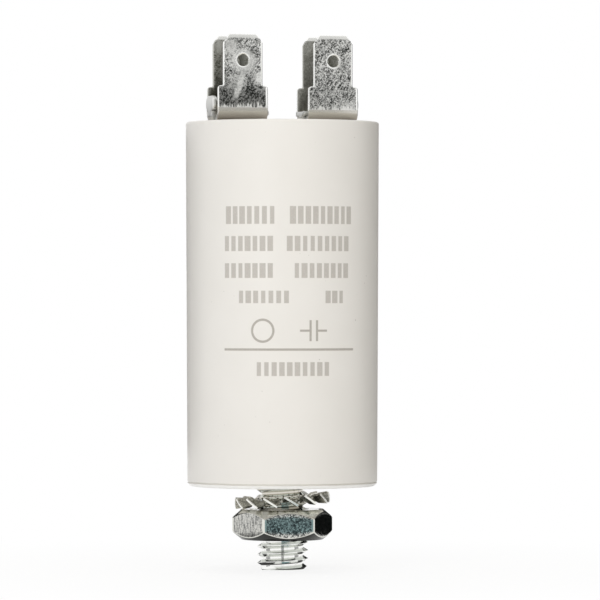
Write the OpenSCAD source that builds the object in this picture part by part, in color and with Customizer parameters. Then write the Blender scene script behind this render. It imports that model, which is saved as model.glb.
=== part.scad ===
// Motor-run film capacitor in a moulded can, with twin blade terminals and a threaded mounting stud.
// Millimetres. The origin is the centre of the can's seat, +Z points up through the lid,
// and the two terminals stand side by side along X.

/* [Can] */
// Outer diameter at the rim
can_d = 30; // [26:0.5:45]
// Diameter lost from the rim to the base, the draft of the mould
can_draft = 0.5; // [0:0.1:1.2]
// Height from the seat to the rim
can_h = 56.5; // [45:0.5:110]
// Wall beside the lid
rim_wall = 1.2; // [0.8:0.1:2]
// Thickness of the base
base_t = 3; // [2:0.1:5]
// Rounding of the lower edge
base_edge_r = 0.8; // [0.3:0.1:1.5]
// Rounding of the rim's outer edge
rim_edge_r = 0.35; // [0.1:0.05:0.5]
// Room around the nut and the washer in the shallow recess of the seat
recess_margin = 1.3; // [0.5:0.1:2]
// Depth of that recess
recess_depth = 0.4; // [0.2:0.1:0.8]
// Wall of the boss around the stud's head
boss_wall = 1.5; // [1:0.1:2]

/* [Lid] */
// Thickness of the lid
lid_t = 3; // [2:0.1:5]
// Width of the ledge that the lid sits on
lid_ledge = 0.7; // [0.4:0.1:1.2]
// Depth of the lid's top below the rim
lid_drop = 0.2; // [0:0.05:1]
// Gap between the lid's edge and the can
lid_fit = 0.05; // [0.02:0.01:0.2]

/* [Terminals] */
// Thickness of the terminal sheet
sheet_t = 0.8; // [0.5:0.05:1]
// Width of a blade
blade_w = 6.3; // [4.8:0.1:6.5]
// Length of a blade above its shoulders
blade_l = 8; // [7:0.1:10]
// Clear gap between the two blades of a terminal
blade_gap = 5.2; // [4.8:0.1:6]
// Step from a blade's edge out to its shoulder
shoulder_step = 0.85; // [0.6:0.05:1.2]
// Height of the shoulders above the lid
shoulder_h = 5.7; // [4.8:0.1:8]
// Rounding of the shoulders' outer corners
shoulder_r = 0.5; // [0.2:0.1:0.6]
// Inside radius of the bend between base and blade
bend_r = 1.2; // [0.8:0.1:1.3]
// Width of the corner cut at a blade's tip
tip_cut = 1; // [0.4:0.1:1.4]
// Length of that cut along the blade
tip_cut_l = 1.4; // [0.4:0.1:2]
// Length of the bevel at a blade's tip
tip_bevel_l = 0.7; // [0.3:0.1:1.2]
// Depth of that bevel on each side
tip_bevel_d = 0.2; // [0.1:0.05:0.24]
// Width of the bevel along a blade's edges
edge_bevel_w = 0.35; // [0.2:0.05:0.6]
// Depth of that bevel on each side
edge_bevel_d = 0.15; // [0.05:0.05:0.24]
// Diameter of the catch hole in a blade
catch_d = 1.8; // [1.2:0.1:2.2]
// Distance from a blade's tip to the middle of its catch hole
catch_drop = 4.1; // [3:0.1:5]
// Depth of the eased edge around a catch hole
catch_ease = 0.2; // [0.1:0.05:0.24]
// Distance along X from the lid's edge to a terminal's outer ear
terminal_inset = 1.95; // [1:0.05:2.5]
// Distance from the ends of the blades out to the faces of the ears
ear_reach = 0.5; // [0.4:0.05:1.2]
// Width of the ears at the ends of a terminal
ear_w = 4.2; // [3:0.1:4.6]
// Height of the outer ear's round head
outer_ear_head = 2.5; // [1.2:0.1:2.8]
// Length of the outer ear's neck above its bend
outer_ear_neck = 0.5; // [0.2:0.1:1.2]
// Height of the inner ear above its bend
inner_ear_head = 0.7; // [0.4:0.1:1.2]
// Inside radius of the bend at an ear
ear_bend_r = 0.4; // [0.2:0.1:0.6]
// Relief between an ear's neck and the bends beside it
ear_relief = 0.15; // [0.1:0.05:0.3]

/* [Rivets] */
// Wall of a tubular terminal rivet
rivet_wall = 0.5; // [0.3:0.05:0.5]
// Thickness of its head and its clinched tail
rivet_head_t = 0.6; // [0.4:0.1:1]
// Gap around its shank
rivet_fit = 0.05; // [0.02:0.01:0.1]

/* [Winding] */
// Outer diameter of the winding's core tube
core_d = 6; // [4:0.5:8]
// Wall of the core tube
core_wall = 1; // [0.5:0.1:1.5]
// Thickness of the sprayed metal on each end of the winding
spray_t = 0.6; // [0.3:0.1:1]
// Gap between the film and its core
winding_fit = 0.02; // [0.01:0.01:0.05]

/* [Leads and resin] */
// Diameter of the lead wires
lead_d = 1; // [0.6:0.1:1.1]
// Gap around a lead in its rivet
lead_fit = 0.1; // [0.05:0.01:0.15]
// Straight length of the long lead below its rivet
lead_straight = 0.8; // [0.4:0.1:2]
// Bend radius of the long lead, on its axis
lead_bend_r = 1.2; // [1:0.1:1.6]
// Length of the long lead's foot under the winding
lead_foot_l = 4; // [2:0.5:6]
// Gap between the stud's head and the long lead's foot
lead_floor_gap = 2; // [1:0.1:5]
// Gap that the solder fills at each end of the winding
solder_gap = 0.02; // [0.01:0.01:0.05]
// Wall of the sleeve on the long lead
sleeve_wall = 0.35; // [0.2:0.05:0.6]
// Gap between the long lead and its sleeve
sleeve_fit = 0.05; // [0.02:0.01:0.1]
// Room on each side of the sleeve, between the winding and the can
sleeve_gap = 0.4; // [0.2:0.05:0.8]
// Depth of the resin above the winding
resin_cover = 1.5; // [0.5:0.1:3]
// Gap between the resin and the long lead's upper run
resin_drop = 1.4; // [0.5:0.1:3]
// Gap between the resin and what it surrounds
resin_fit = 0.02; // [0.01:0.01:0.05]

/* [Stud] */
// Thread diameter
stud_d = 8; // [6:0.5:9]
// Pitch of the thread
thread_pitch = 1.25; // [0.75:0.25:1.5]
// Length of the stud under its head
stud_l = 16; // [14:0.5:30]
// Width of its head across the flats
stud_head_af = 13; // [11:0.5:14]
// Height of its head
stud_head_h = 5.3; // [3:0.1:7]
// Chamfer at its free end
stud_chamfer = 0.7; // [0.3:0.1:1]
// Gap around the shank and the head in the can
stud_fit = 0.05; // [0.02:0.01:0.1]

/* [Nut] */
// Width across the flats
nut_af = 13.7; // [12.5:0.1:15]
// Thickness of the nut
nut_h = 4.7; // [3.5:0.1:5.5]
// Distance from the seat to the nut's upper face
nut_drop = 3.6; // [3.4:0.1:5]
// Width of the chamfer at the corners of its ends
nut_chamfer = 1.54; // [0.5:0.01:2]
// Slope of that chamfer
nut_chamfer_angle = 40; // [25:1:45]
// Depth of the eased edge at each end of its bore
nut_ease = 0.5; // [0.46:0.01:0.8]
// Gap around the thread
nut_fit = 0.05; // [0.02:0.01:0.1]
// Turn of the nut about the stud
nut_turn = -8; // [-30:1:30]

/* [Lock washer] */
// Gap around the stud
washer_fit = 0.2; // [0.15:0.05:0.6]
// Width of the plain ring inside the teeth
washer_ring_w = 1; // [0.8:0.1:1.4]
// Length of the teeth
washer_tooth_l = 2.2; // [1.6:0.1:2.6]
// Sheet thickness
washer_t = 0.35; // [0.3:0.05:0.6]
// Number of teeth
washer_teeth = 14; // [12:1:16]
// Slot between two teeth at the rim
washer_slot = 0.7; // [0.2:0.01:0.8]
// Twist of each tooth about its own radius
washer_twist = 35; // [20:1:36]
// Lean of the loose washer
washer_lean = 3.8; // [0:0.1:4.5]
// Direction of its high side, measured from X towards Y
washer_heading = -17; // [-180:1:180]
// Gap between its low side and the nut
washer_gap = 0.15; // [0.05:0.05:0.4]
// Turn of the washer about its own axis
washer_turn = 24; // [0:1:45]

/* [Hidden] */
$fn = 96;
eps = 0.01;

can_r = can_d / 2;
can_base_r = can_r - can_draft / 2;

lid_seat_r = can_r - rim_wall;
lid_r = lid_seat_r - lid_fit;
lid_top = can_h - lid_drop;
lid_bottom = lid_top - lid_t;
cavity_r = lid_seat_r - lid_ledge;

head_top = base_t + stud_head_h;
boss_r = stud_head_af / 2 / cos(30) + stud_fit + boss_wall;

// Places in a terminal, whose own frame has its base on Z = 0 and its outer ear on +X
shoulder_x = blade_w / 2 + shoulder_step;
blade_inner_y = blade_gap / 2;
blade_outer_y = blade_inner_y + sheet_t;
bend_y = blade_inner_y - bend_r;
bend_z = bend_r + sheet_t;
blade_tip = shoulder_h + blade_l;
ear_x = shoulder_x + ear_reach;
ear_bend_z = ear_bend_r + sheet_t;
ear_bend_x = ear_x - ear_bend_z;
ear_neck_w = 2 * (bend_y - ear_relief);
terminal_x = lid_r - terminal_inset - ear_x;

rivet_bore_d = lead_d + 2 * lead_fit;
rivet_d = rivet_bore_d + 2 * rivet_wall;
rivet_hole_d = rivet_d + 2 * rivet_fit;
rivet_foot_d = 2 * bend_y;
rivet_head_d = rivet_foot_d + rivet_head_t;
rivet_head_z = lid_top + sheet_t;
rivet_tail = lid_bottom - rivet_head_t;

sleeve_bore_r = lead_d / 2 + sleeve_fit;
sleeve_r = sleeve_bore_r + sleeve_wall;
winding_r = cavity_r - 2 * (sleeve_r + sleeve_gap);

lead_run_x = winding_r + sleeve_gap + sleeve_r;
lead_run_top = rivet_tail - lead_straight - lead_bend_r;
lead_run_bottom = head_top + lead_floor_gap + lead_d / 2;
lead_foot_x = winding_r - lead_foot_l;
sleeve_low = lead_run_bottom + lead_bend_r;
sleeve_high = lead_run_top - lead_bend_r;

resin_top = lead_run_top - lead_d / 2 - resin_drop;
spray_top = resin_top - resin_cover;
spray_bottom = lead_run_bottom + lead_d / 2 + solder_gap;
winding_h = spray_top - spray_bottom;

// The threads of the stud and the nut meet at the pitch line
stud_end = base_t - stud_l;
thread_pitch_r = stud_d / 2 - 3 / 8 * thread_pitch * sin(60);
nut_bottom = -nut_drop - nut_h;
nut_bore_r = thread_pitch_r + nut_fit;
nut_corner_r = nut_af / 2 / cos(30);
nut_face_r = nut_corner_r - nut_chamfer;
nut_chamfer_h = nut_chamfer * tan(nut_chamfer_angle);

washer_bore_r = stud_d / 2 + washer_fit;
washer_ring_r = washer_bore_r + washer_ring_w;
washer_r = washer_ring_r + washer_tooth_l;
washer_tooth_angle = 360 / washer_teeth - 2 * asin(washer_slot / 2 / washer_r);

// The washer's low side hangs just above the flat ring of the nut's upper face
washer_half_w = nut_face_r * sin(washer_tooth_angle / 2);
washer_half_h = washer_half_w * sin(washer_twist) + washer_t / 2 * cos(washer_twist);
washer_z = washer_gap - nut_drop + washer_half_h + nut_face_r * sin(washer_lean);

recess_r = max(nut_corner_r, washer_r) + recess_margin;

// A hexagonal prism that stands on Z = 0, given by its width across the flats
module hexagon_bar(across_flats, h) {
    cylinder(d = across_flats / cos(30), h = h, $fn = 6);
}

// A plain tube that stands on Z = 0
module tube(outer_r, inner_r, h) {
    difference() {
        cylinder(r = outer_r, h = h);
        translate([0, 0, -eps]) cylinder(r = inner_r, h = h + 2 * eps);
    }
}

// A rectangle from one corner to the other
module box2d(low, high) {
    translate(low) square(high - low);
}

// A quarter ring in the lower right quadrant of its centre, the section of a bent sheet
module bend2d(centre, inner_r) {
    translate(centre) intersection() {
        difference() {
            circle(r = inner_r + sheet_t);
            circle(r = inner_r);
        }
        box2d([0, -inner_r - sheet_t], [inner_r + sheet_t, 0]);
    }
}

// The outside of the can, from the seat to the rim
module can_outline() {
    polygon([[0, 0], [can_base_r - base_edge_r, 0], [can_base_r - base_edge_r, base_edge_r],
             [can_base_r, base_edge_r], [can_r, can_h - rim_edge_r],
             [can_r - rim_edge_r, can_h - rim_edge_r], [can_r - rim_edge_r, can_h], [0, can_h]]);
    translate([can_base_r - base_edge_r, base_edge_r]) circle(r = base_edge_r);
    translate([can_r - rim_edge_r, can_h - rim_edge_r]) circle(r = rim_edge_r);
}

// The moulded can, with a boss that keeps the stud's head from turning
module can() {
    color([0.91, 0.9, 0.88]) difference() {
        rotate_extrude() can_outline();
        difference() {
            translate([0, 0, base_t]) cylinder(r = cavity_r, h = can_h);
            cylinder(r = boss_r, h = head_top);
        }
        translate([0, 0, lid_bottom]) cylinder(r = lid_seat_r, h = can_h);
        translate([0, 0, base_t]) hexagon_bar(stud_head_af + 2 * stud_fit, can_h);
        translate([0, 0, -eps]) cylinder(r = stud_d / 2 + stud_fit, h = can_h);
        translate([0, 0, -eps]) cylinder(r = recess_r, h = recess_depth + eps);
    }
}

// The lid, with a hole for each rivet
module lid() {
    color([0.9, 0.89, 0.87]) difference() {
        translate([0, 0, lid_bottom]) cylinder(r = lid_r, h = lid_t);
        for (side = [-1, 1])
            translate([side * terminal_x, 0, lid_bottom - eps])
                cylinder(d = rivet_hole_d, h = lid_t + 2 * eps);
    }
}

// Half of the folded section of a terminal, drawn across the blades
module terminal_half_section() {
    box2d([-eps, 0], [bend_y, sheet_t]);
    bend2d([bend_y, bend_z], bend_r);
    polygon([[blade_inner_y, bend_z], [blade_outer_y, bend_z],
             [blade_outer_y, blade_tip - tip_bevel_l], [blade_outer_y - tip_bevel_d, blade_tip],
             [blade_inner_y + tip_bevel_d, blade_tip], [blade_inner_y, blade_tip - tip_bevel_l]]);
}

// Half of the outline of a terminal, seen square to the blades
module terminal_half_outline() {
    round_x = shoulder_x - shoulder_r;
    round_z = shoulder_h - shoulder_r;
    polygon([[-eps, 0], [shoulder_x, 0], [shoulder_x, round_z], [round_x, round_z],
             [round_x, shoulder_h], [blade_w / 2, shoulder_h], [blade_w / 2, blade_tip - tip_cut_l],
             [blade_w / 2 - tip_cut, blade_tip], [-eps, blade_tip]]);
    translate([round_x, round_z]) circle(r = shoulder_r);
}

// One corner of the blades' plan above the shoulders, with its bevelled edges
module blade_quarter_plan() {
    bevel_x = blade_w / 2 - edge_bevel_w;
    polygon([[-eps, blade_inner_y], [bevel_x, blade_inner_y], [blade_w / 2, blade_inner_y + edge_bevel_d],
             [blade_w / 2, blade_outer_y - edge_bevel_d], [bevel_x, blade_outer_y], [-eps, blade_outer_y]]);
}

// The space that the bevelled blades and the plain sheet below them may take
module bevelled_blades() {
    translate([-shoulder_x, -blade_outer_y, 0]) cube([2 * shoulder_x, 2 * blade_outer_y, shoulder_h]);
    translate([0, 0, shoulder_h]) linear_extrude(blade_l)
        for (x_side = [0, 1], y_side = [0, 1])
            mirror([x_side, 0]) mirror([0, y_side]) blade_quarter_plan();
}

// The two blades and the base between them, folded from one sheet
module folded_blades() {
    intersection() {
        rotate([90, 0, 90]) linear_extrude(2 * shoulder_x, center = true) {
            terminal_half_section();
            mirror([1, 0]) terminal_half_section();
        }
        rotate([90, 0, 0]) linear_extrude(2 * blade_outer_y, center = true) {
            terminal_half_outline();
            mirror([1, 0]) terminal_half_outline();
        }
        bevelled_blades();
    }
}

// The outline of an ear, seen along X: a neck and a head with round ends
module ear_outline(neck, head) {
    head_low = ear_bend_z + neck;
    end_r = head / 2;
    box2d([-ear_neck_w / 2, ear_bend_z], [ear_neck_w / 2, head_low + end_r]);
    box2d([-ear_w / 2 + end_r, head_low], [ear_w / 2 - end_r, head_low + head]);
    for (side = [-1, 1])
        translate([side * (ear_w / 2 - end_r), head_low + end_r]) circle(r = end_r);
}

// An ear bent up from the base's end on +X
module ear(neck, head) {
    rotate([90, 0, 0]) linear_extrude(ear_neck_w, center = true) {
        box2d([ear_bend_x - sheet_t, 0], [ear_bend_x, sheet_t]);
        bend2d([ear_bend_x, ear_bend_z], ear_bend_r);
    }
    translate([ear_x - sheet_t, 0, 0]) rotate([90, 0, 90]) linear_extrude(sheet_t) ear_outline(neck, head);
}

// The space at the base's end on +X that is cut away for an ear's bend
module ear_notch() {
    translate([ear_bend_x, -bend_y, -eps]) cube([ear_reach + ear_bend_z, 2 * bend_y, sheet_t + 2 * eps]);
}

// The catch holes through both blades, with eased edges
module catch_holes() {
    for (side = [0, 1])
        mirror([0, side, 0]) translate([0, blade_inner_y, blade_tip - catch_drop]) rotate([-90, 0, 0]) {
            translate([0, 0, -eps]) cylinder(d = catch_d, h = sheet_t + 2 * eps);
            cylinder(d1 = catch_d + 2 * catch_ease, d2 = catch_d, h = catch_ease);
            translate([0, 0, sheet_t - catch_ease])
                cylinder(d1 = catch_d, d2 = catch_d + 2 * catch_ease, h = catch_ease);
        }
}

// One terminal in its own frame
module terminal() {
    difference() {
        folded_blades();
        ear_notch();
        mirror([1, 0, 0]) ear_notch();
        catch_holes();
        translate([0, 0, -eps]) cylinder(d = rivet_hole_d, h = sheet_t + 2 * eps);
    }
    ear(outer_ear_neck, outer_ear_head);
    mirror([1, 0, 0]) ear(0, inner_ear_head);
}

// The terminals stand on the lid with their tall ears outwards
module left_terminal() {
    color([0.72, 0.73, 0.72]) translate([-terminal_x, 0, lid_top]) rotate([0, 0, 180]) terminal();
}

module right_terminal() {
    color([0.72, 0.73, 0.72]) translate([terminal_x, 0, lid_top]) terminal();
}

// A tubular rivet that clamps a terminal's base to the lid
module rivet() {
    half_head = rivet_head_t / 2;
    difference() {
        union() {
            translate([0, 0, rivet_tail]) cylinder(d = rivet_d, h = rivet_head_z + rivet_head_t - rivet_tail);
            translate([0, 0, rivet_tail]) cylinder(d = rivet_head_d, h = rivet_head_t);
            translate([0, 0, rivet_head_z]) cylinder(d1 = rivet_foot_d, d2 = rivet_head_d, h = half_head);
            translate([0, 0, rivet_head_z + half_head])
                cylinder(d1 = rivet_head_d, d2 = rivet_foot_d, h = half_head);
        }
        translate([0, 0, rivet_tail - eps]) cylinder(d = rivet_bore_d, h = can_h);
    }
}

module left_rivet() {
    color([0.78, 0.7, 0.45]) translate([-terminal_x, 0, 0]) rivet();
}

module right_rivet() {
    color([0.78, 0.7, 0.45]) translate([terminal_x, 0, 0]) rivet();
}

// The tube that the film is wound on
module winding_core() {
    color([0.85, 0.85, 0.8]) translate([0, 0, spray_bottom])
        tube(core_d / 2, core_d / 2 - core_wall, winding_h);
}

// The roll of metallised film
module film_winding() {
    color([0.75, 0.76, 0.78]) translate([0, 0, spray_bottom + spray_t])
        tube(winding_r, core_d / 2 + winding_fit, winding_h - 2 * spray_t);
}

// The sprayed metal that joins the turns of film at one end
module metal_spray(z) {
    color([0.6, 0.61, 0.62]) translate([0, 0, z]) tube(winding_r, core_d / 2 + winding_fit, spray_t);
}

module upper_metal_spray() {
    metal_spray(spray_top - spray_t);
}

module lower_metal_spray() {
    metal_spray(spray_bottom);
}

// A round rod parallel to Z
module upright_rod(x, low, high, d) {
    translate([x, 0, low]) cylinder(d = d, h = high - low);
}

// A round rod parallel to X
module level_rod(x_low, x_high, z, d) {
    translate([x_low, 0, z]) rotate([0, 90, 0]) cylinder(d = d, h = x_high - x_low);
}

// A quarter bend of round rod in the XZ plane, from the start angle onwards
module quarter_bend(x, z, start, d) {
    translate([x, 0, z]) rotate([90, 0, 0]) rotate([0, 0, start])
        rotate_extrude(angle = 90) translate([lead_bend_r, 0]) circle(d = d);
}

// The short lead's rod, from the left rivet down to the upper sprayed end
module short_lead_rod(d) {
    upright_rod(-terminal_x, spray_top + solder_gap, lid_top, d);
}

// The long lead's rod, from the right rivet out past the winding and under its lower end
module long_lead_rod(d) {
    top_z = lead_run_top + lead_bend_r;
    inner_x = terminal_x + lead_bend_r;
    outer_x = lead_run_x - lead_bend_r;
    upright_rod(terminal_x, top_z, lid_top, d);
    quarter_bend(inner_x, top_z, 180, d);
    level_rod(inner_x, outer_x, lead_run_top, d);
    quarter_bend(outer_x, sleeve_high, 0, d);
    upright_rod(lead_run_x, sleeve_low, sleeve_high, d);
    quarter_bend(outer_x, sleeve_low, 270, d);
    level_rod(lead_foot_x, outer_x, lead_run_bottom, d);
}

module short_lead() {
    color([0.8, 0.55, 0.4]) short_lead_rod(lead_d);
}

module long_lead() {
    color([0.8, 0.55, 0.4]) long_lead_rod(lead_d);
}

// The sleeve that keeps the long lead off the winding
module lead_sleeve() {
    color([0.85, 0.8, 0.55]) translate([lead_run_x, 0, sleeve_low])
        tube(sleeve_r, sleeve_bore_r, sleeve_high - sleeve_low);
}

// The resin that holds the winding in the can
module potting_resin() {
    color([0.35, 0.3, 0.25]) difference() {
        translate([0, 0, base_t]) cylinder(r = cavity_r - resin_fit, h = resin_top - base_t);
        cylinder(r = boss_r + resin_fit, h = head_top);
        translate([0, 0, spray_bottom - resin_fit])
            cylinder(r = winding_r + resin_fit, h = winding_h + 2 * resin_fit);
        short_lead_rod(lead_d + 2 * resin_fit);
        long_lead_rod(lead_d + 2 * resin_fit);
        upright_rod(lead_run_x, sleeve_low - resin_fit, sleeve_high + resin_fit, 2 * (sleeve_r + resin_fit));
    }
}

// The steel stud, its hexagon head set in the boss inside the can
module mounting_stud() {
    color([0.75, 0.76, 0.77]) difference() {
        union() {
            translate([0, 0, base_t]) hexagon_bar(stud_head_af, stud_head_h);
            translate([0, 0, stud_end + stud_chamfer]) cylinder(d = stud_d, h = stud_l - stud_chamfer);
            translate([0, 0, stud_end])
                cylinder(d1 = stud_d - 2 * stud_chamfer, d2 = stud_d, h = stud_chamfer);
        }
        translate([0, 0, nut_bottom - nut_fit]) tube(stud_d, thread_pitch_r, nut_h + 2 * nut_fit);
    }
}

// The nut, chamfered on both ends and eased at its bore
module hex_nut() {
    ease_r = nut_bore_r + nut_ease;
    color([0.7, 0.71, 0.72]) translate([0, 0, nut_bottom]) rotate([0, 0, nut_turn]) difference() {
        intersection() {
            hexagon_bar(nut_af, nut_h);
            rotate_extrude()
                polygon([[0, 0], [nut_face_r, 0], [nut_corner_r, nut_chamfer_h],
                         [nut_corner_r, nut_h - nut_chamfer_h], [nut_face_r, nut_h], [0, nut_h]]);
        }
        translate([0, 0, -eps]) cylinder(r = nut_bore_r, h = nut_h + 2 * eps);
        cylinder(r1 = ease_r, r2 = nut_bore_r, h = nut_ease);
        translate([0, 0, nut_h - nut_ease]) cylinder(r1 = nut_bore_r, r2 = ease_r, h = nut_ease);
    }
}

// One tooth of the lock washer, flat, pointing along X
module washer_tooth() {
    side_y = washer_r * tan(washer_tooth_angle / 2);
    linear_extrude(washer_t, center = true) intersection() {
        difference() {
            circle(r = washer_r);
            circle(r = washer_ring_r - washer_ring_w / 2);
        }
        polygon([[0, 0], [washer_r, -side_y], [washer_r, side_y]]);
    }
}

// The lock washer hangs loose on the stud, its teeth twisted about their own radii
module lock_washer() {
    color([0.66, 0.66, 0.62]) translate([0, 0, washer_z])
        rotate([0, 0, washer_heading]) rotate([0, -washer_lean, 0]) rotate([0, 0, washer_turn]) {
            translate([0, 0, -washer_t / 2]) tube(washer_ring_r, washer_bore_r, washer_t);
            for (i = [0 : washer_teeth - 1])
                rotate([0, 0, i * 360 / washer_teeth]) rotate([-washer_twist, 0, 0]) washer_tooth();
        }
}

can();
lid();
left_terminal();
right_terminal();
left_rivet();
right_rivet();
winding_core();
film_winding();
upper_metal_spray();
lower_metal_spray();
short_lead();
long_lead();
lead_sleeve();
potting_resin();
mounting_stud();
lock_washer();
hex_nut();
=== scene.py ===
# The looks of the motor-run capacitor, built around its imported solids.
# Pieces are modelled in millimetres, in the part's own frame and to the sizes of their solids, and are scaled
# to metres when they are done.
import math

import bmesh
import bpy
from mathutils import Matrix, Vector


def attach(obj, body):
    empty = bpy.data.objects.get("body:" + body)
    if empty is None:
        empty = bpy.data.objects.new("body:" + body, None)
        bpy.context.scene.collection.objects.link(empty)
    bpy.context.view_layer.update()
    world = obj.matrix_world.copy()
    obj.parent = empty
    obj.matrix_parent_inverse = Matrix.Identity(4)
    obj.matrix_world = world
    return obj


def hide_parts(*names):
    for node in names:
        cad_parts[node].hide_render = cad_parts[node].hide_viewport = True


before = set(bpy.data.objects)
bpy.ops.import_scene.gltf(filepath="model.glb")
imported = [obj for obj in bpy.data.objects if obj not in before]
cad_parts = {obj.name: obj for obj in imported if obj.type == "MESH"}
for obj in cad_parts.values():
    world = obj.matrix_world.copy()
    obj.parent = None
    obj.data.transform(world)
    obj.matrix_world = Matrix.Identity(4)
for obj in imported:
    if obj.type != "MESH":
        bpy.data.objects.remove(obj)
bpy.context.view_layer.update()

MM = 0.001
PER_MM = 1000
FULL_TURN = 2 * math.pi
QUARTER_TURN = math.pi / 2
ORIGIN = (0, 0, 0)
UP = (0, 0, 1)

# Points nearer than MERGE become one, and edges that turn by more than SHARP stay sharp
MERGE = 0.0005
SHARP = math.radians(21)

# Steps of the round shapes
ROUND_STEPS = 144
THREAD_STEPS = 60
RIVET_STEPS = 48
HOLE_STEPS = 32
BEND_STEPS = 12
EAR_BEND_STEPS = 8
ROUNDING_STEPS = 6

# Can
CAN_R = 15
CAN_BASE_R = 14.75
CAN_H = 56.5
CAN_BASE_T = 3
FOOT_CHAMFER = 0.5
FOOT_ROUND = 0.2
LIP_ROUND = 0.03
GROOVE_LOW = 0.56
GROOVE_HIGH = 0.76
GROOVE_DEPTH = 0.13
GROOVE_ROUND = 0.05
RIM_ROUND = 0.35
RIM_INNER_ROUND = 0.15
SEAT_RECESS_R = 9.21
SEAT_RECESS_H = 0.4
LID_LEDGE_R = 13.8
LID_LEDGE_Z = 53.3
CAVITY_R = 13.1
CAVITY_FILLET = 0.5
BOSS_R = 9.056
BOSS_TOP = 8.3
BOSS_ROUND = 0.2
MOULD_EASE = 0.1

# Lid
LID_R = 13.75
LID_TOP = 56.3
LID_T = 3
LID_EASE = 0.25
LID_EASE_STEPS = 3
TERMINAL_X = 7.3
RIVET_HOLE_R = 1.15

# Terminals: one sheet with two blades, a flat foot and an ear at each end
SHEET_T = 0.8
BLADE_HALF_W = 3.15
BLADE_GAP = 5.2
BLADE_TIP = 13.7
BEND_R = 1.2
SHOULDER_X = 4
SHOULDER_Z = 5.7
SHOULDER_ROUND = 0.5
TIP_CUT_W = 1
TIP_CUT_L = 1.4
TIP_BEVEL_L = 0.7
TIP_BEVEL_D = 0.2
EDGE_BEVEL_W = 0.35
EDGE_BEVEL_D = 0.15
EDGE_BEVEL_FADE = 0.3
SIDE_BEVEL_W = 0.45
CATCH_R = 0.9
CATCH_Z = 9.6
CATCH_EASE = 0.32
CUT_EASE = 0.17
EASE_STEPS = 4
SQUARE_EDGE = math.radians(45)
EAR_X = 4.5
EAR_BEND_R = 0.4
EAR_HALF_W = 2.1
EAR_NECK_HALF_W = 1.25
EAR_EASE = 0.24

# Lengths of the neck and the head of the two ears
TALL_EAR = (0.5, 2.5)
LOW_EAR = (0, 0.7)

# Lines of the flat blank that a terminal is folded from
BEND_Y = BLADE_GAP / 2 - BEND_R
BEND_FLAT = (BEND_R + SHEET_T / 2) * QUARTER_TURN
BEND_END = BEND_Y + BEND_FLAT
BEND_Z = BEND_R + SHEET_T
EAR_BEND_X = EAR_X - (EAR_BEND_R + SHEET_T)
EAR_BEND_FLAT = (EAR_BEND_R + SHEET_T / 2) * QUARTER_TURN
FLAT_SHOULDER = BEND_END + SHOULDER_Z - BEND_Z
FLAT_TIP = BEND_END + BLADE_TIP - BEND_Z
FLAT_CATCH = BEND_END + CATCH_Z - BEND_Z
COIN_START = BEND_END + EDGE_BEVEL_FADE
ACROSS_BLANK = Vector((1, 0, 0))
ALONG_BLANK = Vector((0, 1, 0))

# Rivets
RIVET_BORE_R = 0.6
RIVET_R = 1.1
RIVET_NECK_R = 1.4
RIVET_CROWN_R = 1.55
RIVET_HEAD_R = 1.7
RIVET_HEAD_H = 0.6
RIVET_HEAD_EDGE_H = 0.3
RIVET_EASE = 0.1
RIVET_ROLL = 0.25
RIVET_CROWN_ROUND = 0.2

# Stud
STUD_R = 4
STUD_END = -13
STUD_CHAMFER = 0.7
STUD_HOLE_R = 4.05
STUD_HEAD_APOTHEM = 6.5
STUD_CROWN_R = STUD_HEAD_APOTHEM * 0.95
STUD_CROWN_SLOPE = math.tan(math.radians(30))
THREAD_TOP = 1.4
THREAD_RUNOUT = 2
THREAD_DEPTH = 0.767
THREAD_GAP = 0.05
FLANK_SLOPE = math.tan(math.radians(30))
CREST_FLAT = 0.1
PITCH = 1.25

# Nut
NUT_APOTHEM = 6.85
NUT_CORNER_R = NUT_APOTHEM / math.cos(FULL_TURN / 12)
NUT_LOW = -8.3
NUT_HIGH = -3.6
NUT_FACE_R = 6.37
NUT_FACE_MARGIN = 0.1
NUT_SLOPE = math.tan(math.radians(40))
NUT_BORE_R = 3.644
NUT_MOUTH_CHAMFER = 0.5
NUT_MOUTH_R = NUT_BORE_R + NUT_MOUTH_CHAMFER
NUT_MOUTH_RIM = 0.1
NUT_EASE = 0.17
NUT_EASE_STEPS = 3
NUT_EDGE = math.radians(25)
NUT_TURN = math.radians(-8)

# Lock washer
WASHER_BORE_R = 4.2
WASHER_RING_R = 5.2
WASHER_R = 7.4
WASHER_T = 0.35
WASHER_TEETH = 14
WASHER_TOOTH_HALF = math.radians(10.146)
WASHER_TOOTH_ROWS = 8
WASHER_HALF_COLUMNS = 4
WASHER_TWIST = math.radians(-35)
WASHER_TWIST_L = 0.35 * (WASHER_R - WASHER_RING_R)
WASHER_EASE = 0.06
WASHER_EASE_STEPS = 2
WASHER_EDGE = math.radians(50)
WASHER_LEAN = math.radians(-3.8)
WASHER_HEADING = math.radians(-17)
WASHER_TURN = math.radians(24)
WASHER_Z = -2.241

# The values between which most of a noise lies
GRAIN_SPAN = (0.3, 0.7)


class Socket:
    """A node's output, which Python sums turn into Math nodes."""

    def __init__(self, finish, output):
        self.finish = finish
        self.output = output

    def __add__(self, other):
        return self.finish.maths("ADD", self, other)

    def __sub__(self, other):
        return self.finish.maths("SUBTRACT", self, other)

    def __rsub__(self, other):
        return self.finish.maths("SUBTRACT", other, self)

    def __mul__(self, other):
        return self.finish.maths("MULTIPLY", self, other)

    def __truediv__(self, other):
        return self.finish.maths("DIVIDE", self, other)

    __radd__ = __add__
    __rmul__ = __mul__


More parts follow.
